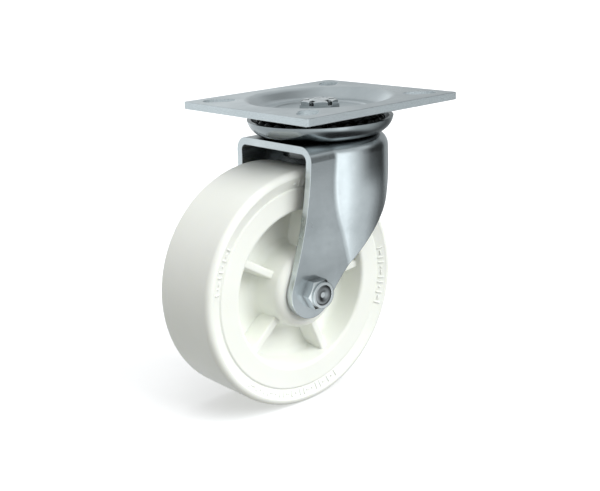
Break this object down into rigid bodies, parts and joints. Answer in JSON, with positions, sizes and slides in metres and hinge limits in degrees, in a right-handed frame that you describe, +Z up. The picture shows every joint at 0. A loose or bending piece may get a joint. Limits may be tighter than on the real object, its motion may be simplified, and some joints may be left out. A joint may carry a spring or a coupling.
{
  "type": "swivel plate caster",
  "caption": "Swivel plate caster: pressed-steel top plate, double ball race and two-leg fork carrying a ribbed white nylon wheel on a bolted axle with a roller bearing.",
  "frame": {"origin": "centre of the top plate's mounting face, on the kingpin's axis", "axes": "+Z up out of the mounting face, along the kingpin; the axle lies along Y; at rest the wheel trails towards -X and the lock nut is on the -Y side"},
  "size_m": [0.1794, 0.1206, 0.1905],
  "materials": {
    "plate_zinc": "zinc-plated pressed steel",
    "fork_zinc": "zinc-plated pressed steel",
    "cup_zinc": "zinc-plated pressed steel",
    "pin_steel": "zinc-plated steel",
    "fastener_zinc": "bright zinc-plated steel",
    "ball_steel": "polished ball steel, greased",
    "race_steel": "hardened steel",
    "wheel_nylon": "moulded ivory-white nylon",
    "bearing_steel": "hardened steel, oiled",
    "insert_nylon": "nylon lock ring"
  },
  "bodies": {
    "mounting": {"top_plate": "plate_zinc", "kingpin": "pin_steel", "kingpin_nut": "fastener_zinc", "kingpin_spacer": "pin_steel", "lower_race": "race_steel"},
    "load_ball_row": {"load_balls": "ball_steel"},
    "thrust_ball_row": {"thrust_balls": "ball_steel"},
    "swivel_fork": {"fork": "fork_zinc", "race_cup": "cup_zinc", "axle_bolt": "fastener_zinc", "axle_nut": "fastener_zinc", "axle_nut_insert": "insert_nylon", "spanner_bushing": "bearing_steel", "thrust_washer_near": "race_steel", "thrust_washer_far": "race_steel"},
    "roller_set": {"rollers": "bearing_steel", "roller_cage": "race_steel"},
    "wheel_set": {"wheel": "wheel_nylon", "hub_sleeve": "bearing_steel", "bearing_retainer_near": "bearing_steel", "bearing_retainer_far": "bearing_steel"}
  },
  "joints": [
    {"name": "swivel", "type": "hinge", "parent": "mounting", "child": "swivel_fork", "pos_m": [0, 0, 0], "axis": [0, 0, 1], "continuous": true},
    {"name": "load_ball_orbit", "type": "hinge", "parent": "mounting", "child": "load_ball_row", "pos_m": [0, 0, 0], "axis": [0, 0, 1], "continuous": true},
    {"name": "thrust_ball_orbit", "type": "hinge", "parent": "mounting", "child": "thrust_ball_row", "pos_m": [0, 0, 0], "axis": [0, 0, 1], "continuous": true},
    {"name": "wheel_spin", "type": "hinge", "parent": "swivel_fork", "child": "wheel_set", "pos_m": [-0.0397, 0, -0.1143], "axis": [0, 1, 0], "continuous": true},
    {"name": "roller_cage_orbit", "type": "hinge", "parent": "swivel_fork", "child": "roller_set", "pos_m": [-0.0397, 0, -0.1143], "axis": [0, 1, 0], "continuous": true}
  ],
  "couplings": [
    {"joint": "load_ball_orbit", "follows": "swivel", "ratio": 0.5},
    {"joint": "thrust_ball_orbit", "follows": "swivel", "ratio": 0.5},
    {"joint": "roller_cage_orbit", "follows": "wheel_spin", "ratio": 0.588}
  ]
}
